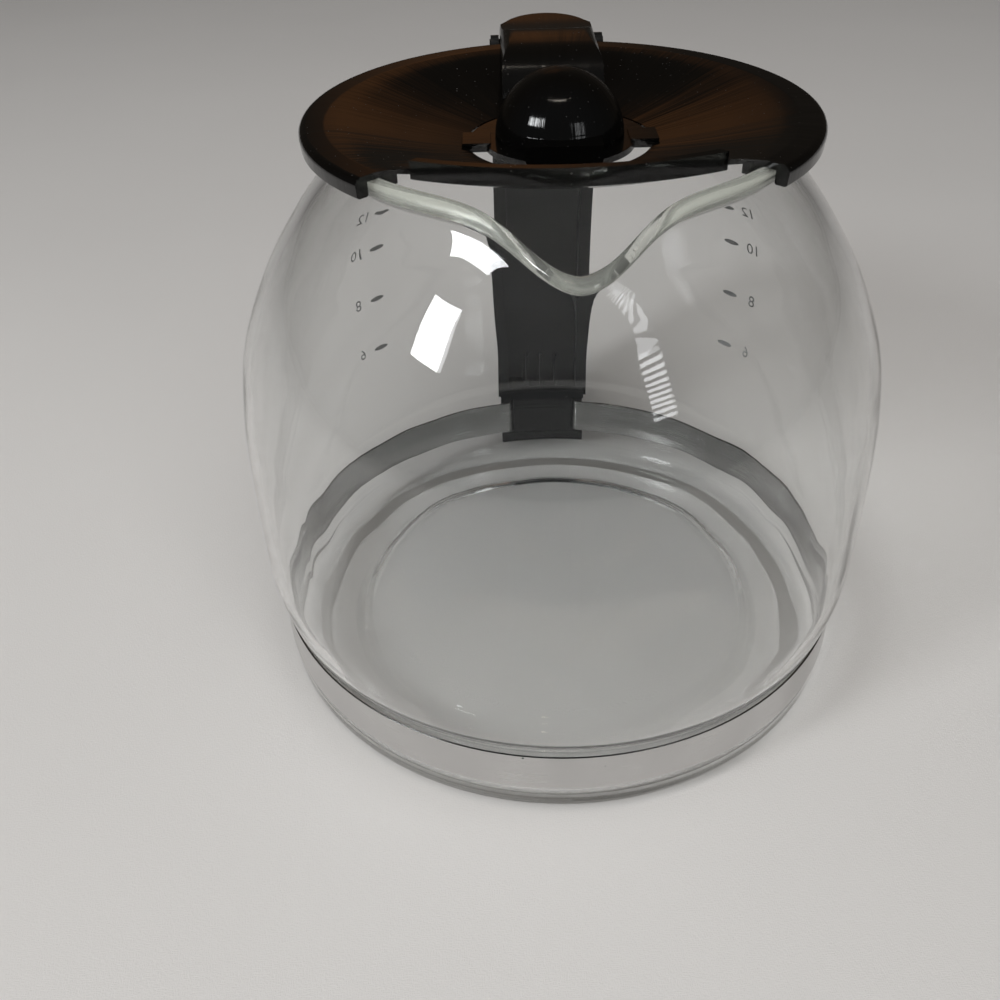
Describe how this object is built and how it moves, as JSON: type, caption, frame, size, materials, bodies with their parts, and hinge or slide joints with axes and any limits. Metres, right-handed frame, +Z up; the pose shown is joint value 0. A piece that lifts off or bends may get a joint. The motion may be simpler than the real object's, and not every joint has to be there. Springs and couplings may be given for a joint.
{
  "type": "coffee carafe",
  "caption": "Round clear glass coffee carafe with steel base band, black loop handle, and hinged dished lid with centre dome, thumb lever and cut-back front over the spout.",
  "frame": {"origin": "centre of the glass foot, on the table it stands on", "axes": "+Z up along the vessel axis; -Y towards the spout; +Y towards the handle; +X to the right seen from the spout side looking at the handle"},
  "size_m": [0.1582, 0.2035, 0.1519],
  "materials": {
    "glass": "clear, fire-polished",
    "steel_band": "polished strip",
    "steel_fastener": "zinc plated",
    "handle_plastic": "satin moulded",
    "panel_plastic": "satin moulded",
    "lid_plastic": "high gloss",
    "lever_plastic": "gloss"
  },
  "bodies": {
    "carafe": {"glass_vessel": "glass", "base_band": "steel_band", "band_screw": "steel_fastener", "band_nut": "steel_fastener", "handle_frame": "handle_plastic", "grip_cover": "handle_plastic", "spine_panel": "panel_plastic", "foot_cap": "handle_plastic"},
    "lid": {"lid_plate": "lid_plastic", "lid_dome": "lid_plastic", "lid_lever": "lever_plastic"}
  },
  "joints": [
    {"name": "lid_hinge", "type": "hinge", "parent": "carafe", "child": "lid", "pos_m": [0, 0.058, 0.1421], "axis": [-1, 0, 0], "range_deg": [0, 70]}
  ]
}
